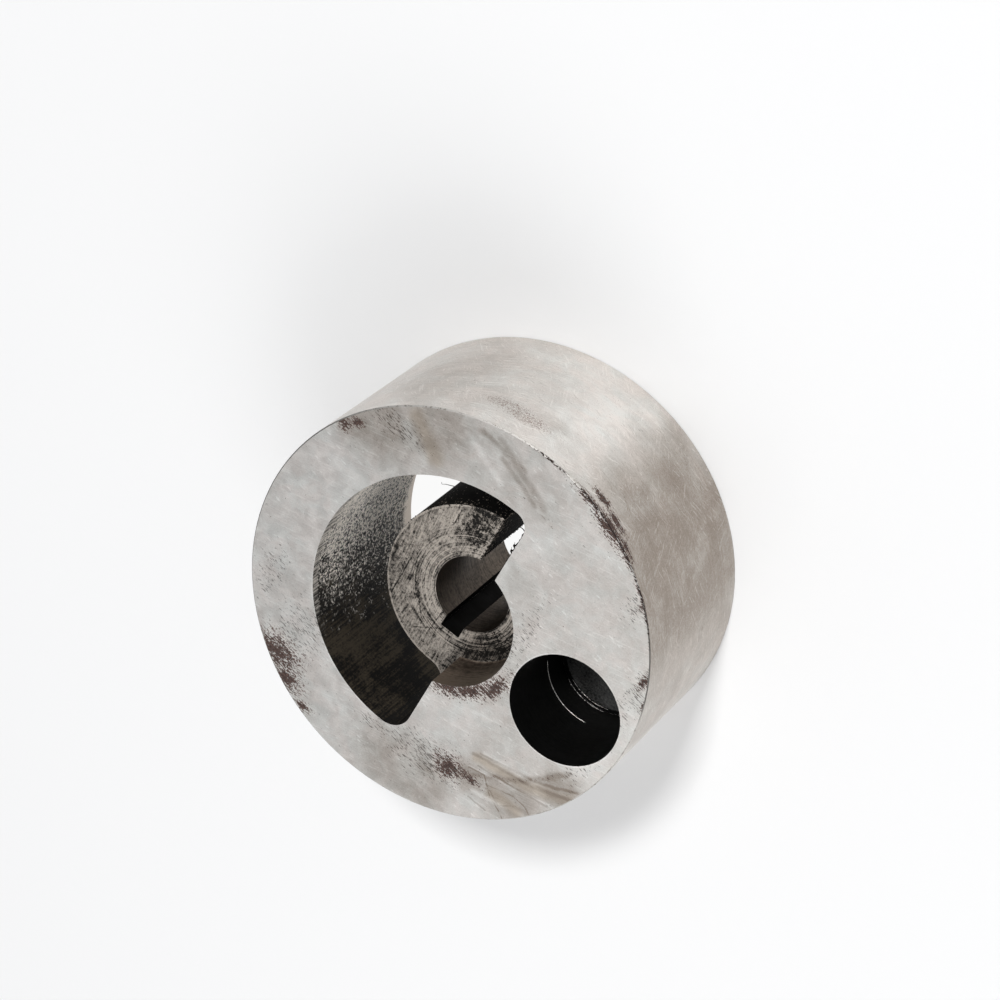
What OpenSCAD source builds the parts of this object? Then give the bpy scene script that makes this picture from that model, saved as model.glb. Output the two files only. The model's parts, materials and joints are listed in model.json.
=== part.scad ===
// Eccentric shaft coupling: a steel drum with a keyed shaft bore in a split hub, a half-moon
// pocket milled right through round that hub, and a blind hole off to one side for a drive pin.
// Z is the drum's axis and the rear face lies on z = 0. Seen from the front, with +Y up, the
// pocket is on the right, the pin hole on the left, the keyway above and the hub's slot below.

/* [Drum] */
// Outside diameter of the drum
drum_d = 118; // [114:0.5:136]
// Length of the drum along its axis
drum_length = 56; // [46:0.5:80]
// Width of the broken outer edges, front and rear
edge_break = 0.3; // [0.1:0.1:1]

/* [Half-moon pocket] */
// Radius of the pocket's curved wall, struck from the drum's axis
pocket_r = 40; // [34:0.5:48]
// Distance from the axis to the web's flat, which closes the pocket
web_offset = 6.1; // [5:0.1:8]
// Radius that the cutter left in the pocket's inside corner at the slot's end
slot_corner_r = 4.6; // [2:0.1:7]
// Radius that the larger cutter left in the inside corners on the keyway's side
key_corner_r = 6.2; // [2:0.1:6.8]

/* [Hub] */
// Outside diameter of the hub that stands in the pocket
hub_d = 51.5; // [44:0.5:58]
// Depth of the hub's end face below the drum's front face
hub_recess = 15.7; // [6:0.1:24]
// Distance from the axis to the hub's cut face, on the pocket's side of the slot
cut_offset = 3; // [1:0.1:5]

/* [Counterbore] */
// Diameter of the counterbore that clears the web in front of the hub
counterbore_d = 40; // [30:0.5:46]
// Radius that the tool left round the counterbore's floor
floor_corner_r = 0.8; // [0.3:0.1:2]

/* [Shaft bore] */
// Diameter of the bore for the shaft
bore_d = 22; // [18:0.5:27]
// Width of the keyway
key_w = 6; // [4:0.5:8]
// Depth of the keyway, from the bore's crown outwards
key_depth = 3.2; // [1.5:0.1:4]

/* [Pin hole] */
// Diameter of the blind hole for the drive pin
pin_d = 32; // [20:0.5:33]
// Distance from the drum's axis to the pin hole's axis
pin_offset = 40; // [39:0.1:41]
// Depth of the pin hole below the drum's front face
pin_depth = 32; // [10:0.5:42]

/* [Hidden] */
$fn = 144;

drum_r = drum_d / 2;
hub_r = hub_d / 2;
counterbore_r = counterbore_d / 2;
bore_r = bore_d / 2;
pin_r = pin_d / 2;
// Height of the hub's end face and the counterbore's floor
hub_face_z = drum_length - hub_recess;
// How far a cutter runs on past the face where it starts or breaks through
overrun = 1;

// How far a cutter bites into the faces beside a corner as it turns there
bite = 0.01;

// Centre of a cutter of radius r that bites into the web's flat and stands at distance reach
// from the axis, on the keyway's side
function on_flat(r, reach) =
    let (x = r - web_offset - bite)
    [x, sqrt(pow(reach, 2) - pow(x, 2))];

// The turned blank, with both outer edges broken
module blank() {
    rotate_extrude()
        polygon([
            [0, 0],
            [drum_r - edge_break, 0],
            [drum_r, edge_break],
            [drum_r, drum_length - edge_break],
            [drum_r - edge_break, drum_length],
            [0, drum_length]
        ]);
}

// Metal that a cutter of radius r can't reach in the corner between the web's flat and the
// pocket's wall: the wedge between its radii to both, less the cutter itself
module unreached_corner(r) {
    centre = on_flat(r, pocket_r - r + bite);
    to_wall = 3 * r * centre / norm(centre);
    to_flat = [-3 * r, 0];
    difference() {
        polygon([centre, centre + to_wall, centre + to_wall + to_flat, centre + to_flat]);
        translate(centre)
            circle(r = r);
    }
}

// Outline of the pocket: the disc inside the curved wall, as far as the web's flat
module half_moon() {
    difference() {
        intersection() {
            circle(r = pocket_r);
            translate([-web_offset, -pocket_r])
                square([web_offset + pocket_r, 2 * pocket_r]);
        }
        unreached_corner(key_corner_r);
        mirror([0, 1])
            unreached_corner(slot_corner_r);
    }
}

// Fillet that the cutter leaves where the hub runs into the web
module hub_root() {
    centre = on_flat(key_corner_r, hub_r + key_corner_r - bite);
    difference() {
        polygon([[0, 0], centre, [-hub_r, centre.y], [-hub_r, 0]]);
        translate(centre)
            circle(r = key_corner_r);
    }
}

// Outline of the hub: joined to the web beside the keyway, and cut away on the other side,
// which leaves the slot between its cut face and the web
module hub_outline() {
    difference() {
        union() {
            circle(r = hub_r);
            hub_root();
        }
        translate([cut_offset - 2 * hub_r, -2 * hub_r])
            square([2 * hub_r, 2 * hub_r]);
    }
}

// The pocket, milled right through round the hub and down to the hub's end face over it
module pocket() {
    difference() {
        translate([0, 0, -overrun])
            linear_extrude(drum_length + 2 * overrun)
                half_moon();
        translate([0, 0, -2 * overrun])
            linear_extrude(hub_face_z + 2 * overrun)
                hub_outline();
    }
}

// The counterbore in the web, with the tool's nose radius round its floor
module counterbore() {
    translate([0, 0, hub_face_z])
        rotate_extrude()
            difference() {
                square([counterbore_r, hub_recess + overrun]);
                translate([counterbore_r - floor_corner_r, 0])
                    difference() {
                        square(floor_corner_r);
                        translate([0, floor_corner_r])
                            circle(r = floor_corner_r);
                    }
            }
}

// The shaft bore, open at the hub's end face and at the rear
module shaft_bore() {
    translate([0, 0, -overrun])
        cylinder(r = bore_r, h = hub_face_z + 2 * overrun);
}

// The keyway, broached along the whole bore on the side away from the slot
module keyway() {
    translate([-key_w / 2, 0, -overrun])
        cube([key_w, bore_r + key_depth, hub_face_z + 2 * overrun]);
}

// The blind, flat-bottomed hole for the drive pin
module pin_hole() {
    translate([-pin_offset, 0, drum_length - pin_depth])
        cylinder(r = pin_r, h = pin_depth + overrun);
}

// The whole coupling, cut from one piece of bar
module coupling_drum() {
    color("#b9b5ae")
        difference() {
            blank();
            pocket();
            counterbore();
            shaft_bore();
            keyway();
            pin_hole();
        }
}

coupling_drum();
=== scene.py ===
# %% [markdown]
# Eccentric shaft coupling.
# The object is one piece of steel: a drum with a keyed, split hub standing low in a half-moon
# pocket, and a blind hole beside it for a drive pin. Its form comes from the construction model,
# and this lesson gives it what a workshop and a shelf gave it: turned and ground faces, oily
# milled walls, broken edges, scratches, rust at the rims and a few burrs.

# %% Load the construction model as a fixed frame
import json
import math

import bmesh
import bpy
import numpy as np
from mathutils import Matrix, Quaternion, Vector


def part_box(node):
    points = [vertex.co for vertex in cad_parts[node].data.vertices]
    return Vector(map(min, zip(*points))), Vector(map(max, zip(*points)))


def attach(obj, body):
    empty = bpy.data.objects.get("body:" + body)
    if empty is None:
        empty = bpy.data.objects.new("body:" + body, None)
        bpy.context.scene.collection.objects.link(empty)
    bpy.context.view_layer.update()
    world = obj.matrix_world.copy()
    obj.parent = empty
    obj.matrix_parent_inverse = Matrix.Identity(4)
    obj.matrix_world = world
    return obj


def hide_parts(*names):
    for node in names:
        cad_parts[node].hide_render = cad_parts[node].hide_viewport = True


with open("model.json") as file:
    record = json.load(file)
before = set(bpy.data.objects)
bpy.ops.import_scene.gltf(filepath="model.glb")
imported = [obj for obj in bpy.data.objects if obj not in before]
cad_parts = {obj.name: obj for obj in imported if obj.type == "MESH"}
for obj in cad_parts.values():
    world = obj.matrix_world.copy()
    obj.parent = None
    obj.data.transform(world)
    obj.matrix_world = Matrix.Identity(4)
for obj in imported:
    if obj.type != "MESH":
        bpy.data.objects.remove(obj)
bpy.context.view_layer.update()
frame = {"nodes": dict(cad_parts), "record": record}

# %% [markdown]
# Sizes. The drum and the two bores are read from the frame and its record, so they can't drift
# away from the construction. The rest are the same round numbers that the construction uses,
# in millimetres. They only say which finish a face gets and where its marks lie.

# %% Read the sizes
MM = 0.001
low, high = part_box("coupling_drum")
drum_r = (high.y - low.y) / 2 / MM
drum_length = (high.z - low.z) / MM
mounts = {mount["name"]: mount for mount in frame["record"]["mounts"]}
bore_r = mounts["shaft_bore"]["dims"]["r_mm"]
hub_face_z = mounts["shaft_bore"]["dims"]["length_mm"]
pin_r = mounts["pin_hole"]["dims"]["r_mm"]
pin_depth = mounts["pin_hole"]["dims"]["length_mm"]
pin_x = mounts["pin_hole"]["pos_m"][0] / MM
pin_floor_z = drum_length - pin_depth
POCKET_R = 40.0
HUB_R = 25.75
CUT_X = 3.0
COUNTERBORE_R = 20.0
print(f"drum {2 * drum_r:.1f} mm across and {drum_length:.1f} mm long, hub face at {hub_face_z:.1f} mm")

# %% [markdown]
# The camera. The photograph was taken with a long lens from above the front face, and turned
# so that the drum's axis runs to the upper right of the picture. A place, a point on the
# optical axis and a roll about it are all that a camera needs, so those three are written down
# rather than a matrix.

# %% Set the camera
def new_object(name, data):
    """An object at the origin, in the scene."""
    made = bpy.data.objects.new(name, data)
    bpy.context.scene.collection.objects.link(made)
    return made


CAMERA_PLACE = Vector((-128.6, -486, 721.8)) * MM
CAMERA_AIM = Vector((3.85, -39.93, 56)) * MM
CAMERA_ROLL = math.radians(-128.59)
CAMERA_LENS = 114.2
SENSOR_WIDTH = 36.0

camera_data = bpy.data.cameras.new("camera")
camera_data.sensor_fit = "HORIZONTAL"
camera_data.sensor_width = SENSOR_WIDTH
camera_data.lens = CAMERA_LENS
camera_data.clip_start = 0.01
camera_data.clip_end = 100.0
camera = new_object("camera", camera_data)
camera.location = CAMERA_PLACE
camera.rotation_mode = "QUATERNION"
level = (CAMERA_AIM - CAMERA_PLACE).to_track_quat("-Z", "Y")
camera.rotation_quaternion = level @ Quaternion((0, 0, 1), CAMERA_ROLL)
bpy.context.scene.camera = camera
bpy.context.scene.view_settings.view_transform = "Standard"
print("camera distance", round((CAMERA_AIM - CAMERA_PLACE).length, 3), "m")

# %% [markdown]
# Shader trees are long when each node is written out, so a few helpers say what a node does
# in one line. They all draw in one tree, which draw_in names before a material or a group is
# begun. Each takes sockets or numbers and returns the new node's output.

# %% Helpers for shader trees
class Drawing:
    """Holds the node tree that the helpers draw in."""
    tree = None


def draw_in(tree):
    """Makes a tree the one that the helpers draw in."""
    Drawing.tree = tree
    return tree


def feed(socket, value):
    """Links value to the socket if it is a socket, or else sets it there."""
    if isinstance(value, bpy.types.NodeSocket):
        Drawing.tree.links.new(value, socket)
    else:
        socket.default_value = value


def add_node(kind, inputs=(), **settings):
    """A node of a kind, with its settings and its inputs. Returns its outputs."""
    node = Drawing.tree.nodes.new("ShaderNode" + kind)
    for name, value in settings.items():
        setattr(node, name, value)
    for socket, value in dict(inputs).items():
        feed(node.inputs[socket], value)
    return node.outputs


def calculate(operation, a, b=0.0, c=0.0, clamp=False):
    """A Math node: operation on a, b and, where it takes three, c."""
    return add_node("Math", {0: a, 1: b, 2: c}, operation=operation, use_clamp=clamp)["Value"]


def times(a, b):
    """a times b."""
    return calculate("MULTIPLY", a, b)


def minus(a, b):
    """a less b."""
    return calculate("SUBTRACT", a, b)


def add_up(start, *parts):
    """start plus each part's value, taken about its middle, times its weight."""
    total = start
    for value, middle, weight in parts:
        total = calculate("MULTIPLY_ADD", minus(value, middle), weight, total)
    return total


def clamped(value):
    """A value held between 0 and 1."""
    return calculate("ADD", value, 0, clamp=True)


def vectors(operation, a, b=(0, 0, 0), result="Vector"):
    """A Vector Math node. Its result is a vector, or a Value for a length or a dot product."""
    second = "Scale" if operation == "SCALE" else 1
    return add_node("VectorMath", {0: a, second: b}, operation=operation)[result]


def length_of(vector):
    """The length of a vector."""
    return vectors("LENGTH", vector, result="Value")


def split(vector):
    """The three components of a vector."""
    return list(add_node("SeparateXYZ", {"Vector": vector}))


def join(x, y, z):
    """A vector from three components."""
    return add_node("CombineXYZ", {"X": x, "Y": y, "Z": z})["Vector"]


def place(vector, location=(0, 0, 0), turn=0.0, scale=(1, 1, 1)):
    """A Mapping node: scales, turns about Z by degrees and shifts, in that order."""
    turns = (0, 0, math.radians(turn))
    inputs = {"Vector": vector, "Location": location, "Rotation": turns, "Scale": scale}
    return add_node("Mapping", inputs)["Vector"]


def noise(vector, scale=1.0, detail=3.0, roughness=0.55, distortion=0.0, result="Fac"):
    """Fractal noise between 0 and 1 with its middle at 0.5, or three of them as a Color."""
    inputs = {"Vector": vector, "Scale": scale, "Detail": detail, "Roughness": roughness}
    return add_node("TexNoise", {**inputs, "Distortion": distortion})[result]


def step(value, start, end, to_start=0.0, to_end=1.0):
    """A smooth step: to_start at value start, to_end at value end, and clamped outside."""
    inputs = {"Value": value, "From Min": start, "From Max": end, "To Min": to_start, "To Max": to_end}
    return add_node("MapRange", inputs, interpolation_type="SMOOTHSTEP")["Result"]


def colour_mix(factor, a, b):
    """A Mix Color node: a where factor is 0 and b where it is 1."""
    node = Drawing.tree.nodes.new("ShaderNodeMix")
    node.data_type = "RGBA"
    feed(node.inputs["Factor"], factor)
    first, second = [socket for socket in node.inputs if socket.type == "RGBA"]
    feed(first, (*a, 1) if isinstance(a, tuple) else a)
    feed(second, (*b, 1) if isinstance(b, tuple) else b)
    return [socket for socket in node.outputs if socket.type == "RGBA"][0]


print("shader helpers ready")

# %% [markdown]
# The floor. The real part lies on a pale studio table. The floor here is a wide pale sheet
# that a camera or a mirror sees nearly as white, and the rest of its look is plain diffuse
# shading, so that the part's soft shadow still falls on it. Right under the part it is seen
# as white only, because the photograph shows clean white through the pocket.

# %% Make the floor
FLOOR_HALF = 4.0
FLOOR_DROP = 0.05 * MM
FLOOR_WHITE = (0.93, 0.93, 0.93)
FLOOR_SHEET = (0.80, 0.80, 0.80)
SHADOW_SHARE = 0.95
GAP_WHITE = (0.955, 0.955, 0.95)


def make_floor():
    """A square sheet just under the part, white to the eye apart from the part's shadow."""
    corners = np.array([(-1, -1, 0), (1, -1, 0), (1, 1, 0), (-1, 1, 0)]) * FLOOR_HALF
    corners[:, 2] = -FLOOR_DROP
    mesh = bpy.data.meshes.new("floor")
    mesh.from_pydata(corners.tolist(), [], [(0, 1, 2, 3)])
    floor = new_object("floor", mesh)
    material = bpy.data.materials.new("floor_sheet")
    material.use_nodes = True
    tree = draw_in(material.node_tree)
    tree.nodes.remove(tree.nodes["Principled BSDF"])
    sheet = add_node("BsdfDiffuse", {"Color": (*FLOOR_SHEET, 1)})["BSDF"]
    coordinates = add_node("TexCoord")["Object"]
    from_axis = length_of(place(coordinates, scale=(1 / MM, 1 / MM, 0)))
    in_gap = step(from_axis, drum_r, POCKET_R)
    white_colour = colour_mix(in_gap, FLOOR_WHITE, GAP_WHITE)
    white = add_node("Emission", {"Color": white_colour})["Emission"]
    share = step(from_axis, POCKET_R, drum_r, 1, 1.0 - SHADOW_SHARE)
    seen = add_node("MixShader", {0: share, 1: sheet, 2: white})["Shader"]
    path = add_node("LightPath")
    direct = calculate("MAXIMUM", path["Is Camera Ray"], path["Is Glossy Ray"])
    direct = calculate("MAXIMUM", direct, path["Is Transmission Ray"])
    final = add_node("MixShader", {0: direct, 1: sheet, 2: seen})["Shader"]
    tree.links.new(final, tree.nodes["Material Output"].inputs["Surface"])
    mesh.materials.append(material)


make_floor()
print("floor", 2 * FLOOR_HALF, "m wide")

# %% [markdown]
# The light. The key lamp stands beyond the top of the picture, about 54 degrees up, and puts
# the part's shadow at the lower right as in the photograph. A wide lamp from the other side
# lifts the front face, and a third shines from below the picture into the pocket's wall. A
# white world does the rest, as the walls of a light tent do. Large lamps matter here: bare
# steel is a dull mirror, and its look is mostly the look of what stands round it.

# %% Light the scene
WORLD_STRENGTH = 0.43
WORLD_WHITE = (0.97, 0.98, 1, 1)
LAMPS = {
    "key_lamp": {"place": (0.34, -1.26, 1.82), "size": 0.35, "watts": 30.5},
    "fill_lamp": {"place": (-0.50, 0.75, 1.25), "size": 1.2, "watts": 4.6},
    "pocket_lamp": {"place": (-0.97, 0.56, 1.00), "size": 1, "watts": 6.5},
}


def light_world():
    """A white world: plain white to the camera and dimmer as a light."""
    world = bpy.data.worlds.new("light_tent")
    bpy.context.scene.world = world
    world.use_nodes = True
    background = draw_in(world.node_tree).nodes["Background"]
    background.inputs["Color"].default_value = WORLD_WHITE
    strength = step(add_node("LightPath")["Is Camera Ray"], 0, 1, WORLD_STRENGTH, 1)
    feed(background.inputs["Strength"], strength)


def add_lamp(name, place, size, watts):
    """A square soft lamp that points at the part."""
    data = bpy.data.lights.new(name, "AREA")
    data.shape = "SQUARE"
    data.size = size
    data.energy = watts
    lamp = new_object(name, data)
    lamp.location = place
    aim = Vector((0, 0, drum_length * MM / 2)) - lamp.location
    lamp.rotation_mode = "QUATERNION"
    lamp.rotation_quaternion = aim.to_track_quat("-Z", "Y")


light_world()
for lamp_name, lamp_values in LAMPS.items():
    add_lamp(lamp_name, **lamp_values)
print("lamps", list(LAMPS))

# %% [markdown]
# Effects that several finishes share are node groups, built once. Each gives back masks or
# values for a place in millimetres, mostly between 0 and 1, and no shader: the Principled
# BSDF stays in each material. Their patterns follow how the marks came about. A cutting tool
# leaves long marks along its path, so its noise is stretched that way. Rust starts as a patch
# and then catches on the scratches, so its edge is bristly along them.

# %% Start and use node groups
GROUPS = {}
VECTOR = "NodeSocketVector"
VALUE = "NodeSocketFloat"


def new_group(name, vector_labels, value_labels, result_labels):
    """An empty node group, kept by its name: what comes in and what goes out. Each list of
    labels is a text, and the results are values."""
    tree = draw_in(bpy.data.node_groups.new(name, "ShaderNodeTree"))
    GROUPS[name] = tree
    print("group", name)
    for labels, way, kind in (
        (vector_labels, "INPUT", VECTOR), (value_labels, "INPUT", VALUE), (result_labels, "OUTPUT", VALUE)
    ):
        for label in labels.split():
            tree.interface.new_socket(name=label, in_out=way, socket_type=kind)
    return tree.nodes.new("NodeGroupInput").outputs, tree.nodes.new("NodeGroupOutput").inputs


def use_group(name, **values):
    """Places a group with its own values, and returns its outputs."""
    inputs = {label.capitalize(): value for label, value in values.items()}
    return add_node("Group", inputs, node_tree=GROUPS[name])


print("kinds of sockets", VECTOR, VALUE)

# %% Tool marks and grain, as stretched noise
def stretched_noise(name, detail, roughness):
    """A group for noise with a factor for each direction. A small one draws marks out that way."""
    given, result = new_group(name, "Place Stretch", "", "Height")
    stretched = vectors("MULTIPLY", given["Place"], given["Stretch"])
    feed(result["Height"], noise(stretched, 1, detail, roughness))


def tool_marks(at, *stretch):
    """Fine marks, drawn out where the stretch is small."""
    return use_group("tool_marks", place=at, stretch=stretch)["Height"]


def grain(at, *stretch):
    """Small specks, with more detail than tool marks have."""
    return use_group("grain", place=at, stretch=stretch)["Height"]


stretched_noise("tool_marks", 2, 0.6)
stretched_noise("grain", 3, 0.65)

# %% Patches, and the ragged rust that fills them
def patch_group():
    """1 at Centre, 0 at Reach from it and less beyond: one minus the distance over the reach,
    but never above Most, which makes a wide weak patch."""
    given, result = new_group("patch", "Place Centre Reach", "Most", "Nearness")
    offset = vectors("SUBTRACT", given["Place"], given["Centre"])
    far = length_of(vectors("DIVIDE", offset, given["Reach"]))
    feed(result["Nearness"], calculate("MINIMUM", minus(1, far), given["Most"]))


def ragged_group():
    """Turns nearness into rust. One noise, long along the scratches, moves the edge in and out
    as bristles, and a finer one leaves bare spots inside and loose specks outside."""
    given, result = new_group("ragged_rust", "Lay", "Nearness", "Mask Halo Tone")
    along = place(given["Lay"], scale=(0.45, 2.1, 2.1))
    bristles = noise(along, detail=4.0, roughness=0.62)
    spots = noise(place(given["Lay"], location=(7, 3, 5), scale=(1.5, 3, 3)))
    rough = add_up(given["Nearness"], (bristles, 0.5, 2.4), (spots, 0.5, 2.6))
    feed(result["Mask"], step(rough, 0.28, 0.50))
    feed(result["Halo"], step(given["Nearness"], -1.1, 0.4))
    feed(result["Tone"], step(spots, 0.40, 0.66))


patch_group()
ragged_group()

# %% Single strokes, for scratches and smears
def stroke_group():
    """1 on the line from Start to End and 0 at Width from it: the distance from a point to its
    nearest point on the line, which is the projection on it, clamped to its ends."""
    given, result = new_group("stroke", "Place Start End", "Width", "Mask")
    along = vectors("SUBTRACT", given["End"], given["Start"])
    offset = vectors("SUBTRACT", given["Place"], given["Start"])
    reached = vectors("DOT_PRODUCT", offset, along, "Value")
    whole = vectors("DOT_PRODUCT", along, along, "Value")
    share = calculate("DIVIDE", reached, whole, clamp=True)
    nearest = vectors("SCALE", along, share)
    far = length_of(vectors("SUBTRACT", offset, nearest))
    feed(result["Mask"], step(calculate("DIVIDE", far, given["Width"]), 1, 0.1))


def most(values):
    """The largest of several values."""
    result = values[0]
    for value in values[1:]:
        result = calculate("MAXIMUM", result, value)
    return result


def strokes(at, height, lines):
    """All the lines of a list, each with its start, its end and its width, at one height."""
    return most([
        use_group("stroke", place=at, start=(*a, height), end=(*b, height), width=width)["Mask"]
        for a, b, width in lines
    ])


def unsteady(at, size, reach):
    """Places moved a little by noise, so that what is drawn with them isn't ruled straight."""
    colour = noise(at, 1 / size, detail=2.0, roughness=0.5, result="Color")
    shift = vectors("SUBTRACT", colour, (0.5, 0.5, 0.5))
    return vectors("ADD", at, vectors("SCALE", shift, reach))


stroke_group()

# %% Smudges and dots
def smudge_group():
    """Cloudy patches of a given size in millimetres, between 0 and 1."""
    given, result = new_group("smudge", "Place", "Size", "Value")
    at = vectors("SCALE", given["Place"], calculate("DIVIDE", 1, given["Size"]))
    clouds = noise(at, detail=4, distortion=0.7)
    feed(result["Value"], step(clouds, 0.32, 0.68))


def dots_group():
    """Scattered round dots, each round the middle of its own cell: Mask is 1 where a point lies
    nearer to the middle than the cell's random size, which is nothing in most cells."""
    given, result = new_group("dots", "Place", "Spacing Share", "Mask")
    at = vectors("SCALE", given["Place"], calculate("DIVIDE", 1, given["Spacing"]))
    cells = add_node("TexVoronoi", {"Vector": at, "Scale": 1})
    lot = split(cells["Color"])[0]
    size = times(step(calculate("ADD", lot, given["Share"]), 1, 1.5), 0.6)
    feed(result["Mask"], step(minus(size, cells["Distance"]), 0, 0.12))


def smudge(at, size):
    """Clouds about as large as size."""
    return use_group("smudge", place=at, size=size)["Value"]


def dots(at, spacing, share):
    """Dots in cells of a given spacing. share is about how many of the cells have one."""
    return use_group("dots", place=at, spacing=spacing, share=share)["Mask"]


smudge_group()
dots_group()

# %% [markdown]
# A finish is mostly one number here: how clean the steel is at a place, from 0, filmed over
# with old oil, to 1, rubbed clean. Each effect adds to it or takes from it, and at the end it
# picks a colour between the two. That keeps clouds, scratches and smears in one family, as they
# are on the real part, where all of them are the same steel under more or less of one film.

# %% Name the colours and start a finish
CLEAN_FACE = (0.935, 0.895, 0.86)
COOL_FACE = (0.895, 0.90, 0.872)
FILMED_FACE = (0.285, 0.24, 0.20)
SMEARED_FACE = (0.74, 0.665, 0.575)
CLEAN_SIDE = (0.895, 0.845, 0.80)
COOL_SIDE = (0.86, 0.85, 0.815)
FILMED_SIDE = (0.29, 0.245, 0.205)
SIDE_FLECK = (0.22, 0.13, 0.10)
RUST = (0.018, 0.009, 0.007)
PALE_RUST = (0.105, 0.062, 0.050)
SIDE_RUST_BROWN = (0.13, 0.072, 0.055)
BROWN_OIL = (0.050, 0.036, 0.027)
BLACK_OIL = (0.006, 0.005, 0.004)
FINISHES = {}


def start_finish(name, sheen=0.5):
    """Begins a material, kept by its name, and returns the place on the part in millimetres. sheen
    is the level of the shader's reflection from what isn't bare metal, such as an oil film."""
    material = bpy.data.materials.new(name)
    material.use_nodes = True
    FINISHES[name] = material
    print("finish", name)
    shader = draw_in(material.node_tree).nodes["Principled BSDF"]
    shader.inputs["Specular IOR Level"].default_value = sheen
    coordinates = add_node("TexCoord")["Object"]
    return place(coordinates, scale=(1 / MM, 1 / MM, 1 / MM))


def end_finish(colour, roughness, metallic, height, depth):
    """Links what a finish worked out to its shader. depth is the height's reach in millimetres."""
    shader = Drawing.tree.nodes["Principled BSDF"]
    feed(shader.inputs["Base Color"], colour)
    feed(shader.inputs["Roughness"], roughness)
    feed(shader.inputs["Metallic"], metallic)
    bump = add_node("Bump", {"Distance": depth * MM, "Strength": 1, "Height": height})
    feed(shader.inputs["Normal"], bump["Normal"])


def end_rusted(colour, rust, brown, roughness, height):
    """Ends a finish with rust in two tones over it, hardly metallic, rough and raised."""
    colour = colour_mix(rust["Mask"], colour, colour_mix(rust["Tone"], RUST, brown))
    bare = add_up(1, (rust["Mask"], 0, -0.9))
    roughness = add_up(roughness, (rust["Mask"], 0, 0.40))
    height = add_up(height, (rust["Mask"], 0, 0.5))
    end_finish(colour, roughness, bare, height, depth=0.03)


def polar(at):
    """Distance from the drum's axis, and the angle round it in radians."""
    x, y, _ = split(at)
    return length_of(join(x, y, 0)), calculate("ARCTAN2", y, x)


def from_pin_axis(at):
    """Distance from the pin hole's axis."""
    return polar(place(at, location=(-pin_x, 0, 0)))[0]


print("clean steel", CLEAN_FACE, "and", CLEAN_SIDE)

# %% [markdown]
# Where the rust sits. Each patch has a centre and a reach in millimetres. On the front face
# they are given in X and Y, and along the rim as an angle and a distance from the face's edge,
# so that one patch can cross the edge from the face to the turned side.

# %% List the rust
LAY_TURN = 9.0
FACE_RUST = [
    ((35, 44), (10.5, 7)), ((28.5, 49.5), (7, 5)), ((20.6, 53.4), (3.4, 2.2)),
    ((49.8, -29.2), (3.4, 2.3)), ((46.9, -31.8), (2.6, 1.8)), ((-22.4, 38.3), (6, 5)),
    ((-28.5, 37), (5, 1.7)), ((-53, -22.5), (1.8, 4.2)), ((-56.6, -17.5), (1.2, 3.6)),
    ((-42, -41.5), (1.2, 2.4)),
]
FACE_SPECKS = [
    ((38, -38.5), (15, 5.5)), ((31, 30), (13, 11)), ((47, 23), (7, 12)), ((-40.5, -40), (5, 9)),
    ((-53, -14), (4, 14)), ((1, 42.5), (9, 3.2)), ((-12, 41), (15, 9)), ((-20, -12), (5, 14)),
    ((-52, 10), (5, 12)),
]
FACE_RUST_LINES = [
    ((-27, 37), (-40, 27.5), 1.5), ((-40, 27.5), (-46.5, 20.5), 1.6),
    ((-46.5, 20.5), (-50.2, 15.5), 1.8),
]
RIM_RUST = [
    (-114, 0.6, 9, 2.6), (-106.5, 0, 8, 2), (-122, 0, 9, 1.3), (-134, 0, 13, 0.7), (-92, 0, 10, 0.6),
]
SIDE_RUST = [
    (-107.5, 4.8, 5, 2), (-114, 3.8, 6, 2), (-121, 1.8, 5, 1.4),
]
COUNTERBORE_RUST = [
    (137, 21.3, 13, 3), (158, 23, 7.5, 3), (121, 20.4, 7.5, 1.8),
]


def nearness(at, centre, reach, weak):
    """Nearness to one patch, of which weak may hold the most it comes to."""
    values = {"centre": (*centre, 0), "reach": (*reach, 1), "most": weak[0] if weak else 1}
    return use_group("patch", place=at, **values)["Nearness"]


def ring_nearness(at, ring_r, inward, spots):
    """Nearness to patches that lie along a circle of radius ring_r. Each has its angle, its
    distance from the circle, its half length and half width and, if it is weak, its most. The
    angle is taken from each patch's own, between minus pi and pi, so none has a seam."""
    angle = polar(at)[1]
    found = []
    for degrees, depth, half_length, half_width, *weak in spots:
        away = calculate("WRAP", minus(angle, math.radians(degrees)), math.pi, -math.pi)
        arc_place = join(times(away, ring_r), inward, 0)
        found.append(nearness(arc_place, (0, depth), (half_length, half_width), weak))
    return most(found)


def flat_nearness(at, spots):
    """Nearness to patches on a flat face, given by centre and reach in X and Y and, where one
    is weak, its most."""
    x, y, _ = split(at)
    flat_place = join(x, y, 0)
    return most([nearness(flat_place, *spot[:2], spot[2:]) for spot in spots])


print(len(FACE_RUST), "patches on the face,", len(RIM_RUST) + len(SIDE_RUST), "along the rim")

# %% [markdown]
# The ground face. It was finished flat, and later rubbed and slid about on benches, so its
# scratches run nearly along X. A film of old oil lies on it in clouds, thickest beyond the
# pocket's slot end, and hands have wiped pale and dark strokes through it beside the pin hole.

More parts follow.
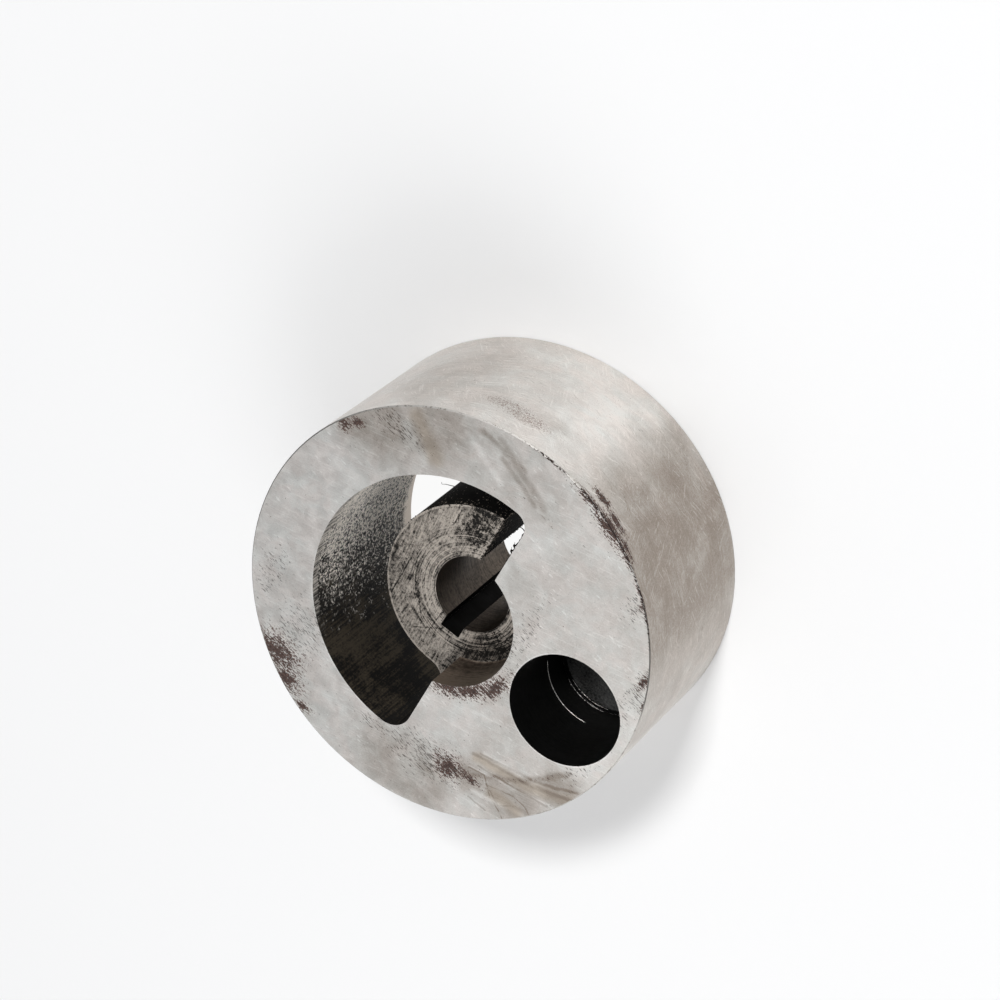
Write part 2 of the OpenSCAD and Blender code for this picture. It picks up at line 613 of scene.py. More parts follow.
# %% Make the ground face's finish
FACE_FILM = [
    ((42, -36), (18, 13), 0.90), ((28, -45), (16, 12), 0.60), ((4, -48), (20, 11), 0.18),
    ((-12, 49), (20, 12), 0.45), ((-42, 33.5), (14, 10), 0.80), ((-51, 22), (9, 9), 0.65),
    ((-38, 22), (14, 17), 0.18), ((-29, 37), (7, 6), 0.50), ((-30, -18), (22, 26), 0.10),
]
DARK_STROKES = [
    ((11.5, -54.5), (-7, -46), 1.9), ((9, -50.5), (-5, -45), 1.3), ((17, -53.5), (2, -51.5), 1.5),
    ((-25.9, 29.6), (-42.8, 26.3), 0.85), ((-42.8, 26.3), (-55.2, 21.9), 1.10),
    ((-27.6, 28.3), (-42.8, 24.4), 0.60), ((-44, 24.3), (-55, 18.8), 0.80),
    ((-29, 32), (-50, 28.4), 0.50), ((-33.3, 35), (-37.1, 33.9), 0.36),
    ((-37.1, 33.9), (-41.5, 32.5), 0.34), ((-41.5, 32.5), (-45.2, 32.8), 0.34),
    ((-45.2, 32.8), (-47.8, 34.6), 0.36), ((-33.5, 34.8), (-38.9, 38.3), 0.36),
    ((-38.9, 38.3), (-42.1, 36.1), 0.30), ((-31, 42), (-37.1, 42.4), 0.45),
]
BROWN_SMEARS = [
    ((-27.4, 30), (-42.1, 27.4), 2.8), ((-42.1, 27.4), (-54.4, 22.5), 3.4),
    ((-36, 36), (-44, 36), 3.2), ((34, -45), (24, -38), 4),
]
PALE_STROKES = [
    ((-28.5, 27.4), (-40, 25.4), 0.70), ((-27, 33.8), (-52, 27.4), 0.60),
    ((-31, 39.5), (-46, 35.8), 1.2), ((20, -50), (6, -44), 1.6),
]
REAR_FILM = [((-30, 30), (30, 18)), ((10, -50), (20, 9))]
REAR_RUST = [((-45, -34), (6, 3)), ((48, 28), (4, 3))]
REAR_SPECKS = [((-38, -30), (14, 10)), ((44, 22), (9, 14))]
DARK_SCRATCHES = [
    ((-27, 34), (-31.5, 33), 0.35), ((-31.5, 33), (-36, 37.5), 0.30), ((-36, 37.5), (-42.5, 41), 0.30),
    ((-7, -44), (-11.5, -43), 0.30),
]


def painted_rim_highlight(at):
    """A painted highlight: 1 along the rims of the pin hole and of the pocket's half on the
    keyway's side, where these edges catch the light, and 0 half a millimetre from them."""
    x, y, _ = split(at)
    pin_gap = calculate("ABSOLUTE", minus(from_pin_axis(at), pin_r))
    pocket_gap = calculate("ABSOLUTE", minus(polar(at)[0], POCKET_R))
    elsewhere = calculate("MAXIMUM", step(y, 12, 2), step(x, -5, -7))
    pocket_gap = calculate("ADD", pocket_gap, elsewhere)
    return step(calculate("MINIMUM", pin_gap, pocket_gap), 0.50, 0.20)


def seen_marks(at, clouds):
    """The marks that only the seen face has: its rust lines, what they and its strokes do to the
    steel, and a painted highlight along its rims."""
    hand_drawn = unsteady(at, 5, 1.5)
    weights = [(FACE_RUST_LINES, -0.16), (DARK_STROKES, -0.28), (PALE_STROKES, 0.18), (DARK_SCRATCHES, -0.40)]
    marks = [(strokes(hand_drawn, drum_length, lines), 0, weight) for lines, weight in weights]
    # Painted highlight along the rims of the pin hole and the pocket.
    marks.append((times(painted_rim_highlight(at), clouds), 0, 0.30))
    return marks, strokes(hand_drawn, drum_length, BROWN_SMEARS)


def ground_face(name, film_spots, rust_spots, speck_spots, seen_side):
    """Satin steel with scratches along X, under film, specks and bristly rust. The side that
    the photograph shows also has its smears, its rust lines and the rust of its two rims."""
    at = start_finish(name)
    lay = place(at, turn=LAY_TURN)
    clouds = smudge(at, 15)
    mottle = smudge(lay, 3.6)
    tint = smudge(place(at, location=(40, 20, 0)), 7)
    scratches = tool_marks(lay, 0.07, 2, 2)
    hairs = tool_marks(place(at, turn=LAY_TURN - 24), 0.12, 2.6, 2.6)
    fine = grain(at, 2.4, 2.8, 2.8)
    flecks = grain(lay, 0.6, 2.7, 2.7)
    pale_dots = dots(at, 0.8, 0.26)
    dark_dots = dots(place(at, location=(9, 31, 0)), 1.1, 0.19)
    chips = dots(place(lay, turn=40, scale=(0.32, 1, 1)), 0.8, 0.34)
    film = step(flat_nearness(at, film_spots), -0.3, 0.8)
    specked = step(flat_nearness(at, speck_spots), -0.3, 0.8)
    rust_near = [flat_nearness(at, rust_spots)]
    bare_colour = colour_mix(tint, COOL_FACE, CLEAN_FACE)
    marks = []
    if seen_side:
        radius = polar(at)[0]
        marks, smeared = seen_marks(at, clouds)
        bare_colour = colour_mix(smeared, bare_colour, SMEARED_FACE)
        rust_near += [
            calculate("MULTIPLY_ADD", marks[0][0], 1.2, -1.18),
            ring_nearness(at, drum_r, minus(drum_r, radius), RIM_RUST),
            ring_nearness(at, COUNTERBORE_R + 1, radius, COUNTERBORE_RUST),
        ]
    rust = use_group("ragged_rust", nearness=most(rust_near), lay=lay)
    clean = add_up(
        0.73, (clouds, 0.5, 0.12), (mottle, 0.5, 0.11), (scratches, 0.5, 0.14), (fine, 0.5, 0.42),
        (step(hairs, 0.56, 0.66), 0, 0.10), (pale_dots, 0, 0.16), (times(chips, clouds), 0, 0.24),
        (dark_dots, 0, -0.8), (film, 0, -0.46), (rust["Halo"], 0, -0.10), *marks,
    )
    colour = colour_mix(clamped(clean), FILMED_FACE, bare_colour)
    fleck_level = add_up(0.680, (specked, 0, -0.125), (rust["Halo"], 0, -0.06), (film, 0, -0.02))
    fleck = step(minus(flecks, fleck_level), 0, 0.06)
    colour = colour_mix(times(fleck, 0.72), colour, BROWN_OIL)
    roughness = add_up(0.40, (mottle, 0.5, 0.08), (film, 0, 0.05))
    height = add_up(0, (scratches, 0, 0.5), (fine, 0, 0.3))
    end_rusted(colour, rust, PALE_RUST, roughness, height)


ground_face("ground_face", FACE_FILM, FACE_RUST, FACE_SPECKS, True)
ground_face("rear_face", REAR_FILM, REAR_RUST, REAR_SPECKS, False)

# %% [markdown]
# The turned side. Its marks run round the drum, so their noise is long in X and Y and short in
# Z. That needs no angle and so leaves no seam. It is the brightest surface and a warm one, with
# brown clouds where it was held. Patches of fine hairs cross it in three directions, two light
# and one dark, each long, a little bent, and only where a cloud of its own lets it show.

# %% Make the turned side's finish
# Brown film patches on the side. The last one, at -172 degrees, is painted shade rather than film.
SIDE_FILM_AND_SHADE = [
    (-109, 40, 12, 16, 0.35), (-111, 17, 13, 13, 0.45), (-58, 24, 22, 20, 0.2), (-84, 15, 8, 4),
    (-172, 44, 18, 24, 0.9),
]
# Painted shade: patches where the turned side is darkened as if in shade, each an angle, a distance from the
# front rim, a half length and width and, if weak, a most.
SIDE_PAINTED_SHADE = [
    (-136, 28, 37, 90), (-20, 28, 40, 90, 0.05), (-168, 12, 17, 20, 0.34),
]
SIDE_SPECKS = [
    (-79, 10.5, 8, 3.2), (-73, 13, 8, 3),
]
# Painted highlight: a pale band along the axis, where the photographed side reflects the lamps.
SIDE_PAINTED_HIGHLIGHT = [
    (-92, 30, 13, 34), (-99, 45, 8, 9), (-82, 34, 30, 36, 0.45),
]


def crossing_hairs(swept, turn, location, stretch, cloud, start, end):
    """Long hairs that run across the turning, only where a cloud lets them show."""
    hairs = tool_marks(place(swept, turn=turn, location=location), *stretch)
    return times(cloud, step(hairs, start, end))


def turned_side():
    """Warm satin steel with marks round the drum, brown clouds, rust next to the front rim, painted shade in
    patches round the drum and a painted highlight in a band along it.
    """
    at = start_finish("turned_side")
    z = split(at)[2]
    inward = minus(drum_length, z)
    lay = join(times(polar(at)[1], drum_r), z, 0)
    clouds = smudge(at, 19)
    mottle = smudge(at, 4.6)
    tint = smudge(place(at, location=(40, 20, 0)), 10)
    rubbed = smudge(place(at, location=(5, 60, 9)), 9)
    turning = tool_marks(at, 0.04, 0.04, 2)
    swept = unsteady(lay, 34, 12)
    hairs = [
        (-24, (0, 0, 0), (0.07, 2.3, 2.3), step(rubbed, 0.40, 0.62), 0.57, 0.67, 0.24),
        (58, (0, 0, 0), (0.08, 2.1, 2.1), step(rubbed, 0.60, 0.40), 0.58, 0.68, 0.19),
        (24, (30, 7, 0), (0.09, 2.5, 2.5), step(mottle, 0.46, 0.62), 0.60, 0.68, -0.22),
    ]
    hair_parts = [(crossing_hairs(swept, *values), 0, weight) for *values, weight in hairs]
    pale_dots = dots(lay, 0.8, 0.26)
    dark_dots = dots(place(at, location=(9, 31, 5)), 1.8, 0.17)
    fine = grain(at, 2.4, 2.4, 3)
    flecks = grain(at, 0.7, 0.7, 1.8)
    # Film, and at -172 degrees painted shade.
    film = step(ring_nearness(at, drum_r, inward, SIDE_FILM_AND_SHADE), -0.2, 0.8)
    # Painted shade, darkening the side in the patches listed above.
    shade = step(ring_nearness(at, drum_r, inward, SIDE_PAINTED_SHADE), -0.25, 0.8)
    # Painted highlight, lightening the side in the band listed above.
    pale = step(ring_nearness(at, drum_r, inward, SIDE_PAINTED_HIGHLIGHT), -0.1, 0.9)
    specks = step(ring_nearness(at, drum_r, inward, SIDE_SPECKS), -0.6, 0.7)
    rust_near = ring_nearness(at, drum_r, inward, RIM_RUST + SIDE_RUST)
    rust = use_group("ragged_rust", nearness=rust_near, lay=lay)
    clean = add_up(
        0.69, (clouds, 0.5, 0.16), (mottle, 0.5, 0.12), (turning, 0.5, 0.26), (fine, 0.5, 0.62),
        *hair_parts, (pale_dots, 0, 0.14), (dark_dots, 0, -0.7), (film, 0, -0.22), (shade, 0, -0.58),
        (pale, 0, 0.22), (rust["Halo"], 0, -0.06),
    )
    bare_colour = colour_mix(tint, COOL_SIDE, CLEAN_SIDE)
    colour = colour_mix(clamped(clean), FILMED_SIDE, bare_colour)
    fleck_share = add_up(0.26, (film, 0, 0.30), (rust["Halo"], 0, 0.3), (specks, 0, 0.5))
    fleck = times(step(flecks, 0.66, 0.72), fleck_share)
    colour = colour_mix(fleck, colour, BROWN_OIL)
    specked = step(add_up(fine, (specks, 0, 0.16)), 0.64, 0.70)
    colour = colour_mix(times(specked, 0.75), colour, SIDE_FLECK)
    roughness = add_up(0.38, (mottle, 0.5, 0.08), (film, 0, 0.06))
    height = add_up(0, (turning, 0, 0.5), (fine, 0, 0.3))
    end_rusted(colour, rust, SIDE_RUST_BROWN, roughness, height)


turned_side()

# %% [markdown]
# The milled walls. The pocket's wall and the web's flat were cut from the front, so their
# marks run along Z. They were never cleaned: oil with swarf fills the low spots. The wall
# darkens towards the keyway's end, partly from that oil and partly as painted shade, and a
# narrow band at the rear rim is a painted highlight: lighter steel that mirrors the floor, where
# light comes in through the gap.

# %% Make the milled walls' finish
BAND_HEIGHT = 3.2
MILL_PITCH = 1.0
DRY_WALL = (0.97, 0.91, 0.83)
DEEP_OIL = (0.002, 0.0016, 0.0012)
SHEER_OIL = (0.056, 0.045, 0.031)
# The colour of the painted highlight at the rear rim.
REAR_HIGHLIGHT_WALL = (0.46, 0.41, 0.36)


def milled_wall():
    """Rough steel with marks along Z under speckled black oil, darker towards the keyway's end with painted
    shade too, and a painted highlight along the rear rim.
    """
    at = start_finish("milled_wall", sheen=0.25)
    _, y, z = split(at)
    marks = tool_marks(at, 1.3, 1.3, 0.03)
    fine_marks = tool_marks(at, 1.9, 1.9, 0.05)
    speckle = grain(at, 1.7, 1.7, 1.35)
    spots = grain(at, 0.9, 0.9, 0.9)
    blots = grain(at, 0.40, 0.40, 0.32)
    clouds = smudge(at, 14)
    turn = times(polar(at)[1], POCKET_R * 2 * math.pi / MILL_PITCH)
    steps = calculate("SINE", calculate("MULTIPLY_ADD", marks, 16, turn))
    front_lip = step(z, 52.6, 53.8)
    front_part = step(z, 34, 50)
    near_front = step(z, 45, 54)
    # Darker towards the keyway's end: partly oil, partly painted shade.
    oil_and_shade_level = add_up(y, (z, 40, 0.12), (blots, 0.5, 26), (spots, 0.5, 14))
    oil_and_shade = step(oil_and_shade_level, 19, 31)
    oiled = step(oil_and_shade_level, 2, 28)
    peppered = add_up(
        speckle, (spots, 0.5, 0.5), (oiled, 0, 0.13), (clouds, 0.5, -0.06), (front_part, 0, -0.03),
        (front_lip, 0, -0.16),
    )
    bare = add_up(
        1.08, (step(peppered, 0.52, 0.57), 0, -1.10), (marks, 0.5, 1.2),
        (times(steps, front_part), 0, 0.26), (near_front, 0, -0.44), (front_lip, 0, -0.20),
        (blots, 0.5, 1.2),
    )
    dry_colour = colour_mix(clamped(bare), BLACK_OIL, DRY_WALL)
    sheer = add_up(0.32, (fine_marks, 0.5, 2.7), (speckle, 0.5, 3), (blots, 0.5, 1), (clouds, 0.5, 1.1))
    wet_colour = colour_mix(clamped(sheer), DEEP_OIL, SHEER_OIL)
    colour = colour_mix(oil_and_shade, dry_colour, wet_colour)
    # Painted highlight: a band at the rear rim, lighter in colour and bare metal that mirrors the floor,
    # stands in for the light that comes through the gap.
    band_edge = add_up(BAND_HEIGHT, (blots, 0.5, 8), (speckle, 0.5, 8), (y, 15, 0.25))
    painted_rear_highlight = step(minus(band_edge, z), -1.6, 1.2)
    colour = colour_mix(painted_rear_highlight, colour, REAR_HIGHLIGHT_WALL)
    metallic = calculate("MAXIMUM", painted_rear_highlight, 0.15)
    roughness = step(oil_and_shade, 0, 1, 0.55, 0.66)
    height = add_up(0, (marks, 0, 0.8), (speckle, 0, 1), (steps, 0, 0.12))
    end_finish(colour, roughness, metallic, height, depth=0.06)


milled_wall()

# %% [markdown]
# The hub's side and its cut face are wetter still: they read as black, with a few grey specks
# where the oil is thin. A dull oil has little sheen, so the specular level is low.

# %% Make the oily hub's finish
HUB_OIL = (0.0012, 0.0011, 0.001)
HUB_SPECK = (0.34, 0.305, 0.265)


def oily_hub():
    """Black oil over rough steel, with grey specks where it is thin, most at the cut's front."""
    at = start_finish("oily_hub", sheen=0.05)
    x, _, z = split(at)
    marks = tool_marks(at, 1.4, 1.4, 0.12)
    speckle = grain(at, 1.5, 1.5, 0.9)
    front = step(z, hub_face_z - 5, hub_face_z)
    on_cut = times(step(x, 3.6, 3.1), step(z, hub_face_z - 8, hub_face_z - 2))
    thin = add_up(-0.40, (on_cut, 0, 0.30), (speckle, 0.5, 4.8), (marks, 0.5, 1.4), (front, 0, 0.18))
    thin = step(thin, 0.20, 0.60)
    colour = colour_mix(thin, HUB_OIL, HUB_SPECK)
    roughness = add_up(0.66, (speckle, 0, 0.2))
    metallic = add_up(0.1, (thin, 0, 0.8))
    height = calculate("ADD", marks, speckle)
    end_finish(colour, roughness, metallic, height, depth=0.06)


oily_hub()

# %% [markdown]
# The hub's end face was faced off with the boring tool, whose marks run round the bore and are
# clearest next to it. It has straight dark scratches, and pits full of oil beside the cut face,
# where the edge itself is rubbed pale. In the web the face goes on as the counterbore's floor,
# which is darker.

# %% Make the hub face's finish
HUB_SCRATCHES = [
    ((19.3, 16), (19.5, 4.2), 0.34), ((5.1, 19.8), (4.5, 10.8), 0.30),
    ((12.4, 15.4), (6.2, 18.5), 0.6), ((13.9, 19), (13.6, 15.7), 0.42),
    ((14.3, -19.5), (14.3, -13.9), 0.36), ((15.6, -20), (13.4, -15.5), 0.30),
    ((15, 8), (8.5, 16.5), 0.28), ((9, 20.5), (2, 15), 0.30),
]
PITTED = [
    ((7, -20), (5.5, 7.5), 0.20), ((8, -23.8), (8, 2), 0.40), ((-13, 9), (5, 5), 0.1),
]
DULLED = [((21, 8), (8, 13))]
HUB_STEEL = (0.60, 0.54, 0.475)


def hub_face():
    """Warm grey steel with marks round the bore, straight scratches, oily pits and a painted highlight along
    its outer rim.
    """
    at = start_finish("hub_face", sheen=0.3)
    radius = polar(at)[0]
    x, y, _ = split(at)
    ring = join(radius, times(x, 0.05), times(y, 0.05))
    turning = tool_marks(ring, 2.6, 1, 1)
    near_bore = step(radius, 22, 15)
    clouds = smudge(at, 5.5)
    mottle = smudge(at, 1.8)
    speckle = grain(at, 1.5, 1.5, 1.5)
    blots = grain(at, 0.8, 0.8, 0.8)
    brushed = tool_marks(place(at, turn=LAY_TURN + 78), 0.25, 2.2, 2.2)
    pitted = step(flat_nearness(at, PITTED), -0.5, 0.7)
    dulled = step(flat_nearness(at, DULLED), -0.2, 0.9)
    cut_edge = times(step(x, 5.6, 3.4), step(y, -9.5, -11.5))
    outer_floor = times(step(x, -2, -6), step(radius, 13.5, 16.5))
    rim_dirt = step(radius, HUB_R - 2.2, HUB_R - 0.8)
    # Painted highlight: a thin bright ring just inside the hub face's outer rim.
    painted_hub_rim_highlight = step(radius, HUB_R - 0.7, HUB_R - 0.35)
    scratches = strokes(unsteady(at, 1.6, 0.7), hub_face_z, HUB_SCRATCHES)
    clean = add_up(
        0.66, (clouds, 0.5, 0.44), (mottle, 0.5, 0.34), (speckle, 0.5, 2.3), (brushed, 0.5, 1.8),
        (painted_hub_rim_highlight, 0, 0.50), (times(near_bore, minus(turning, 0.5)), 0, 3.4),
        (scratches, 0, -0.55), (outer_floor, 0, -0.46), (dulled, 0, -0.26), (cut_edge, 0, 0.16),
        (rim_dirt, 0, -0.20),
    )
    pit_sum = add_up(speckle, (pitted, 0, 0.24), (blots, 0.5, 0.45), (cut_edge, 0, -0.05))
    pits = step(pit_sum, 0.62, 0.67)
    clean = clamped(minus(clean, pits))
    colour = colour_mix(clean, BLACK_OIL, HUB_STEEL)
    metallic = step(clean, 0, 0.5, 0.4, 1)
    roughness = add_up(0.55, (clean, 0, -0.15))
    rings = times(turning, near_bore)
    height = add_up(0, (rings, 0, 1.6), (pits, 0, -1), (scratches, 0, -1), (speckle, 0, 0.7))
    end_finish(colour, roughness, metallic, height, depth=0.05)


hub_face()

# %% [markdown]
# The bores. Their walls were left oiled and have gone brown. One function makes them all,
# because they differ only in how dark and how rough they are.

# %% Make the bores' finishes
def bored_wall(name, dark, light, rough, speck, far_side_shade=0.0, front_wear=0.0, corner_shade=0.0):
    """A dark oiled bore with marks round its axis. speck is the size of its specks. Of the three
    numbers that follow, the first is how much painted shade darkens the side towards the pin
    hole, the second how much cleaner it gets over the last millimetres to the front face, and
    the third how much painted shade darkens the corner round the pin hole's floor."""
    at = start_finish(name, sheen=0.2)
    x, _, z = split(at)
    turning = tool_marks(at, 0.10, 0.10, 1.8)
    speckle = grain(at, 1 / speck, 1 / speck, 1 / speck)
    film = smudge(at, 8)
    front = step(z, drum_length - 13, drum_length)
    # The corner round the pin hole's floor, darkened by the last argument as painted shade.
    corner = step(from_pin_axis(at), pin_r - 1.5, pin_r - 0.7)
    share = add_up(
        0.5, (front, 0.3, front_wear), (corner, 0, -corner_shade), (film, 0.5, 0.35), (turning, 0.5, 1.2),
        (speckle, 0.5, 1.6), (step(x, -1, -7), 0, -far_side_shade),
    )
    colour = colour_mix(clamped(share), dark, light)
    roughness = add_up(rough, (film, 0, 0.12))
    metallic = add_up(0.75, (share, 0, 0.2))
    height = calculate("ADD", turning, speckle)
    end_finish(colour, roughness, metallic, height, depth=0.03)


# The shaft bore's side towards the pin hole is darkened as painted shade.
bored_wall("shaft_bore_wall", (0.018, 0.013, 0.009), (0.16, 0.13, 0.105), 0.36, 0.8, far_side_shade=0.32)
bored_wall("keyway_wall", (0.001, 0.001, 0.001), BLACK_OIL, 0.66, 1)
bored_wall("counterbore_wall", (0.055, 0.040, 0.029), (0.30, 0.245, 0.20), 0.42, 1.2, front_wear=0.9)
bored_wall("pin_bore_wall", (0.012, 0.012, 0.0115), (0.035, 0.034, 0.033), 0.42, 1.2)
# The corner round the pin hole's floor is darkened as painted shade.
bored_wall("pin_bore_floor", (0.004, 0.004, 0.004), (0.20, 0.20, 0.195), 0.50, 0.6, corner_shade=0.9)

# %% [markdown]
# Broken edges. Handling rubs a sharp steel edge bright, and that thin line tells the eye that
# the part is heavy and hard. It is a finish of its own, for the narrow faces along each edge.
# Near the rust it is dark, and it is darkened too along two stretches of the rim, one on the pocket's side.

# %% Make the edges' finish
DARKENED_RIM = [(25, 0, 75, 3), (-150, 0, 20, 3)]
EDGE_STEEL = (0.56, 0.54, 0.51)
EDGE_BREAK = (0.30, 0.28, 0.25)
EDGE_DARK = (0.10, 0.095, 0.085)


def broken_edge():
    """Rubbed steel, with dark breaks, two darkened stretches and the rim's rust."""
    at = start_finish("broken_edge")
    speckle = grain(at, 0.9, 0.9, 0.9)
    from_rim = minus(drum_r, polar(at)[0])
    inward = calculate("ADD", from_rim, minus(drum_length, split(at)[2]))
    darkened_stretch = step(ring_nearness(at, drum_r, inward, DARKENED_RIM), -0.1, 0.4)
    rust_near = ring_nearness(at, drum_r, inward, RIM_RUST)
    rust = use_group("ragged_rust", nearness=rust_near, lay=place(at, turn=LAY_TURN))["Mask"]
    colour = colour_mix(step(speckle, 0.56, 0.62), EDGE_STEEL, EDGE_BREAK)
    colour = colour_mix(times(darkened_stretch, 0.8), colour, EDGE_DARK)
    colour = colour_mix(rust, colour, RUST)
    bare = add_up(1, (rust, 0, -0.9))
    roughness = add_up(0.55, (rust, 0, 0.3))
    end_finish(colour, roughness, bare, speckle, depth=0.02)


broken_edge()

# %% [markdown]
# The body. A finish belongs to a face, and the frame's mesh has one slot, so the body is a
# copy of that mesh with its doubles merged, where each face is given a finish by where it lies
# and which way it faces. A narrow bevel breaks each sharp edge, as a file does, and the normals
# are then weighed by area, which keeps the flat faces flat in the light up to that bevel.

# %% Sort the faces by finish
NEAR = 0.3
NEAR_EDGE = 1.0
KEYWAY_REACH = 4.0
WALL_RISE = 0.1
FLAT_RISE = 0.9


def finish_of_faces(mesh):
    """For each face the number of its finish. Walls are told by their distance from an axis or
    by the plane they lie in, and flat faces by their height."""
    middles = np.empty(len(mesh.polygons) * 3)
    mesh.polygons.foreach_get("center", middles)
    x, y, z = middles.reshape(-1, 3).T / MM
    normals = np.empty(len(mesh.polygons) * 3)
    mesh.polygons.foreach_get("normal", normals)
    rise = normals.reshape(-1, 3)[:, 2]
    radius = np.hypot(x, y)
    from_pin = np.hypot(x - pin_x, y)
    wall = np.abs(rise) < WALL_RISE
    flat = np.abs(rise) > FLAT_RISE
    tests = {
        "ground_face": flat & (np.abs(z - drum_length) < NEAR),
        "rear_face": flat & (np.abs(z) < NEAR),
        "hub_face": flat & (np.abs(z - hub_face_z) < NEAR),
        "pin_bore_floor": flat & (np.abs(z - pin_floor_z) < NEAR),
        "turned_side": wall & (np.abs(radius - drum_r) < NEAR),
        "oily_hub": wall & ((np.abs(radius - HUB_R) < NEAR) | ((np.abs(x - CUT_X) < NEAR) & (y < 0))),
        "keyway_wall": wall & (y > 0) & (np.abs(x) < CUT_X + NEAR) & (radius < bore_r + KEYWAY_REACH),
        "counterbore_wall": ~flat & (np.abs(radius - COUNTERBORE_R) < NEAR_EDGE) & (z > hub_face_z),
        "shaft_bore_wall": wall & (np.abs(radius - bore_r) < NEAR) & ~((y > 0) & (np.abs(x) < CUT_X)),
        "pin_bore_wall": wall & (np.abs(from_pin - pin_r) < NEAR),
        "broken_edge": ~flat & ~wall & (radius > drum_r - NEAR_EDGE),
    }
    names = list(FINISHES)
    finish = np.full(len(mesh.polygons), names.index("milled_wall"), dtype=np.int32)
    for name, test in tests.items():
        finish[test] = names.index(name)
    print({name: int((finish == i).sum()) for i, name in enumerate(names)})
    return finish


# %% Build the body
EDGE_WIDTH = 0.11
SHARP_ANGLE = math.radians(25)
FLAT_ANGLE = math.radians(0.2)
MERGE_REACH = 0.002


def merged_copy(node, name):
    """A copy of the frame's mesh with its doubles merged and its flat faces made whole."""
    work = bmesh.new()
    work.from_mesh(node.data)
    bmesh.ops.remove_doubles(work, verts=work.verts, dist=MERGE_REACH * MM)
    bmesh.ops.dissolve_limit(work, angle_limit=FLAT_ANGLE, verts=work.verts, edges=work.edges)
    mesh = bpy.data.meshes.new(name)
    work.to_mesh(mesh)
    open_edges = sum(1 for e in work.edges if not e.is_manifold)
    print("edges", len(work.edges), "open", open_edges, "faces", len(work.faces))
    work.free()
    return mesh


def build_body():
    """The coupling in one piece, with finished faces and broken edges."""
    mesh = merged_copy(frame["nodes"]["coupling_drum"], "coupling_body")
    for finish in FINISHES.values():
        mesh.materials.append(finish)
    mesh.polygons.foreach_set("material_index", finish_of_faces(mesh))
    mesh.shade_smooth()
    body = new_object("coupling_body", mesh)
    bevel = body.modifiers.new("broken_edges", "BEVEL")
    bevel.width = EDGE_WIDTH * MM
    bevel.segments = 2
    bevel.limit_method = "ANGLE"
    bevel.angle_limit = SHARP_ANGLE
    bevel.material = list(FINISHES).index("broken_edge")
    weighted = body.modifiers.new("face_normals", "WEIGHTED_NORMAL")
    weighted.mode = "FACE_AREA"
    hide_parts("coupling_drum")
    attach(body, "root")


build_body()

# %% [markdown]
# Burrs, swarf and tool lines. A burr is metal that the cutter pushed over an edge and didn't
# cut off, and it breaks into threads as it is handled. Each one here is a thin round profile
# carried along a path and drawn out to a point at both ends. A line in a material could show
# one from a distance, but a burr stands proud, so it is real geometry.

# %% Carry a round profile along a path
THREAD_SIDES = 8


def smooth_path(points, count):
    """count points on the curve through the given ones: linear in the distance along them,
    then eased twice by the mean of each point and its neighbours."""
    points = np.asarray(points, dtype=float)
    run = np.concatenate([[0], np.cumsum(np.linalg.norm(np.diff(points, axis=0), axis=1))])
    at = np.linspace(0, run[-1], count)
    path = np.stack([np.interp(at, run, points[:, i]) for i in range(3)], axis=1)
    for _ in range(2):
        path[1:-1] = (path[:-2] + 2 * path[1:-1] + path[2:]) / 4
    return path


def thread(path, radius):
    """Each point of the surface is path + radius * (cos a * side + sin a * above), where side and
    above are square to the path and a goes round the profile. A pole closes each end."""
    along = np.gradient(path, axis=0)
    along /= np.linalg.norm(along, axis=1, keepdims=True)
    side = np.cross(along, (0.0, 0.0, 1.0))
    side /= np.linalg.norm(side, axis=1, keepdims=True)
    above = np.cross(side, along)
    a = np.linspace(0, 2 * np.pi, THREAD_SIDES, endpoint=False)[None, :, None]
    ring = np.cos(a) * side[:, None, :] + np.sin(a) * above[:, None, :]
    points = path[:, None, :] + np.asarray(radius)[:, None, None] * ring
    count = len(path)
    row = np.arange(count - 1)[:, None] * THREAD_SIDES
    here = np.arange(THREAD_SIDES)[None, :]
    after = (here + 1) % THREAD_SIDES
    up_row = row + THREAD_SIDES
    quads = np.stack([row + here, up_row + here, up_row + after, row + after], axis=-1).reshape(-1, 4)
    last_row = (count - 1) * THREAD_SIDES
    first_pole = np.full(THREAD_SIDES, count * THREAD_SIDES)
    start_cap = np.stack([first_pole, here[0], after[0]], axis=-1)
    end_cap = np.stack([first_pole + 1, last_row + after[0], last_row + here[0]], axis=-1)
    vertices = np.concatenate([points.reshape(-1, 3), path[:1], path[-1:]])
    return vertices, quads.tolist() + start_cap.tolist() + end_cap.tolist()


def joined(parts):
    """Several (vertices, faces) pairs as one pair."""
    vertices = []
    faces = []
    count = 0
    for part_vertices, part_faces in parts:
        vertices.append(part_vertices)
        faces += [[corner + count for corner in face] for face in part_faces]
        count += len(part_vertices)
    return np.concatenate(vertices), faces


def new_piece(name, vertices, faces, finish):
    """A piece of the part from arrays in millimetres, riding on its one body."""
    mesh = bpy.data.meshes.new(name)
    mesh.from_pydata((np.asarray(vertices) * MM).tolist(), [], faces)
    mesh.shade_smooth()
    mesh.materials.append(FINISHES[finish])
    piece = new_object(name, mesh)
    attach(piece, "root")
    print(name, len(mesh.polygons), "faces")


# %% Make the finishes of burrs
def burr_finish(name, dark, light, rough, metallic):
    """Uneven bare or oily metal, for threads and crumbs too small for more."""
    at = start_finish(name, sheen=0.2)
    speckle = grain(at, 2.2, 2.2, 2.2)
    share = step(speckle, 0.35, 0.65)
    roughness = add_up(rough, (share, 0, 0.15))
    end_finish(colour_mix(share, dark, light), roughness, metallic, speckle, depth=0.03)


burr_finish("oily_burr", (0.004, 0.0035, 0.003), (0.03, 0.026, 0.022), 0.6, 0.8)
burr_finish("bright_burr", (0.55, 0.53, 0.50), (0.85, 0.83, 0.80), 0.30, 1)

